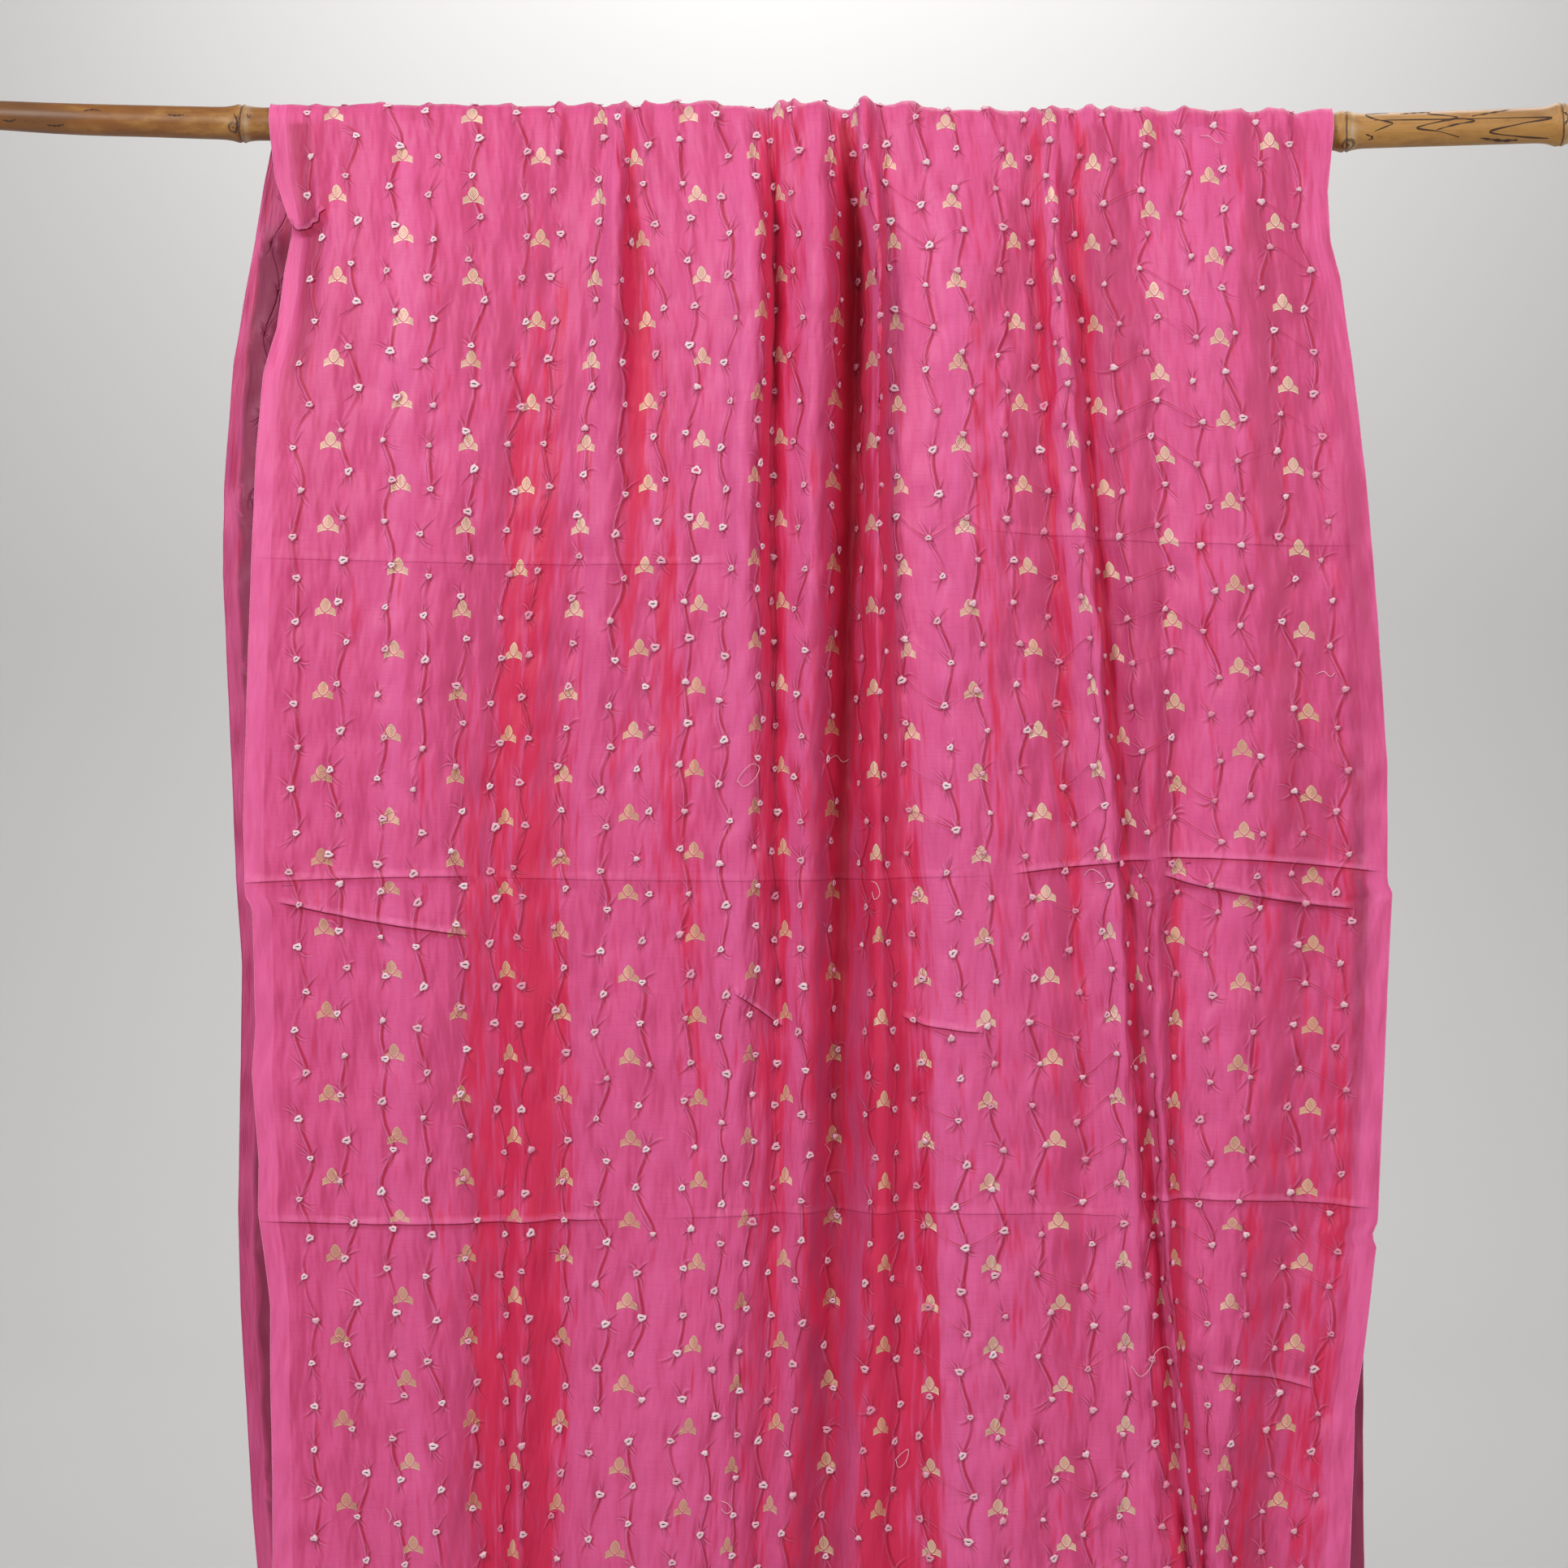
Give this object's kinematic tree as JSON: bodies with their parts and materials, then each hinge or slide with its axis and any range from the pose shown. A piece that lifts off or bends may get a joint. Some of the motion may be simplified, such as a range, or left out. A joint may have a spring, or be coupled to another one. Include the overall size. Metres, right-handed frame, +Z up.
{
  "type": "bandhani cloth over bamboo pole",
  "caption": "Tie-dyed silk cloth with woven gold flower sprigs, folded once over a level bamboo pole and hanging in upright folds before and behind it.",
  "frame": {"origin": "on the pole's axis at mid span, where the pole is held up", "axes": "+X along the pole to the right as seen from the front, -Y towards the front of the cloth, +Z up"},
  "size_m": [1.336, 0.1232, 1.2519],
  "materials": {
    "silk": "shot silk, pink over crimson, tie-dyed with small undyed rings and woven with pale gold sprigs, soft sheen",
    "bamboo": "dry tan bamboo skin with brown streaks, satin"
  },
  "bodies": {
    "root": {"cloth": "silk", "bamboo_pole": "bamboo"}
  },
  "joints": []
}
